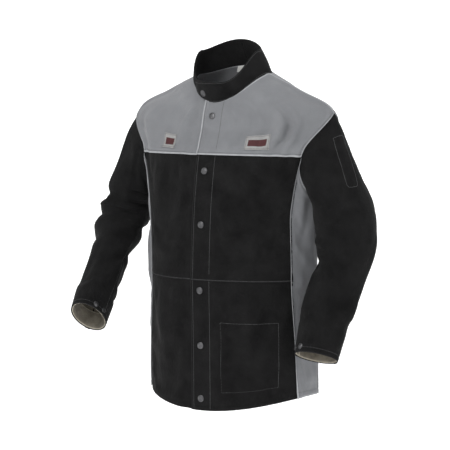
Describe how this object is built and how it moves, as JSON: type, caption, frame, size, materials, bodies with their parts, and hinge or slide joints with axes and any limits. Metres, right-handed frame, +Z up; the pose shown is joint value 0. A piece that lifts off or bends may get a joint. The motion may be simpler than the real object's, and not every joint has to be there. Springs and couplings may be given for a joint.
{
  "type": "leather welding jacket",
  "caption": "Hip-length welding jacket with suede leather fronts, stand collar and sleeves, cotton yoke and back, snap front and snap cuffs.",
  "frame": {"origin": "middle of the hem opening, at the height of the front hem's lowest point", "axes": "+Z up, -Y towards the wearer's front, +X towards the wearer's left"},
  "size_m": [0.7215, 0.3651, 0.8197],
  "materials": {
    "leather_black": "matte black suede split leather with a short nap",
    "leather_flesh_side": "undyed grey-tan flesh side of the leather",
    "cotton_grey": "mid grey flame-resistant cotton twill",
    "snap_metal": "dark pewter plated snap fasteners",
    "thread": "twisted black sewing thread",
    "patch_cloth": "plain woven patches with no lettering",
    "label_cloth": "plain white woven label"
  },
  "bodies": {
    "torso": {"back_yoke": "cotton_grey", "back_panel": "cotton_grey", "side_panel_left": "cotton_grey", "side_panel_right": "cotton_grey", "yoke_left": "cotton_grey", "yoke_right": "cotton_grey", "front_upper_left": "leather_black", "front_upper_right": "leather_black", "front_lower_left": "leather_black", "front_lower_right": "leather_black", "collar_back": "leather_black", "collar_lining_back": "leather_black", "neck_label": "label_cloth", "chest_patch_left": "patch_cloth", "chest_patch_right": "patch_cloth"},
    "left_front": {"yoke_left_flap": "cotton_grey", "front_upper_left_flap": "leather_black", "front_lower_left_flap": "leather_black", "placket_facing_left": "leather_flesh_side", "collar_left_end": "leather_black", "collar_lining_left": "leather_black", "snap_caps": "snap_metal", "snap_sockets": "snap_metal", "pocket_bag": "leather_flesh_side"},
    "right_front": {"yoke_right_flap": "cotton_grey", "front_upper_right_flap": "leather_black", "front_lower_right_flap": "leather_black", "placket_facing_right": "leather_flesh_side", "collar_right_end": "leather_black", "collar_lining_right": "leather_black", "snap_studs": "snap_metal", "snap_posts": "snap_metal"},
    "left_sleeve": {"upper_sleeve_left_outer": "leather_black", "upper_sleeve_left_under": "leather_black", "sleeve_pocket_bag": "leather_flesh_side"},
    "left_forearm": {"forearm_left_outer": "leather_black", "forearm_left_under": "leather_black", "cuff_facing_left": "leather_flesh_side", "cuff_snap_caps_left": "snap_metal", "cuff_snap_studs_left": "snap_metal"},
    "right_sleeve": {"upper_sleeve_right_outer": "leather_black", "upper_sleeve_right_under": "leather_black"},
    "right_forearm": {"forearm_right_outer": "leather_black", "forearm_right_under": "leather_black", "cuff_facing_right": "leather_flesh_side", "cuff_snap_caps_right": "snap_metal", "cuff_snap_studs_right": "snap_metal"}
  },
  "joints": [
    {"name": "left_front_open", "type": "hinge", "parent": "torso", "child": "left_front", "pos_m": [0.0805, -0.078, 0.735], "axis": [-0.1184, 0.0376, 0.9923], "range_deg": [0, 55]},
    {"name": "right_front_open", "type": "hinge", "parent": "torso", "child": "right_front", "pos_m": [-0.0805, -0.078, 0.735], "axis": [-0.1184, -0.0376, -0.9923], "range_deg": [0, 25]},
    {"name": "left_shoulder_raise", "type": "hinge", "parent": "torso", "child": "left_sleeve", "pos_m": [0.238, 0, 0.625], "axis": [0, -1, 0], "range_deg": [0, 35]},
    {"name": "left_elbow_bend", "type": "hinge", "parent": "left_sleeve", "child": "left_forearm", "pos_m": [0.294, 0.002, 0.392], "axis": [-1, 0, 0], "range_deg": [-20, 35]},
    {"name": "right_shoulder_raise", "type": "hinge", "parent": "torso", "child": "right_sleeve", "pos_m": [-0.238, 0, 0.625], "axis": [0, 1, 0], "range_deg": [0, 35]},
    {"name": "right_elbow_bend", "type": "hinge", "parent": "right_sleeve", "child": "right_forearm", "pos_m": [-0.3, -0.018, 0.4], "axis": [-1, 0, 0], "range_deg": [-30, 30]}
  ],
  "couplings": [
    {"joint": "right_front_open", "follows": "left_front_open", "ratio": 0.45}
  ]
}
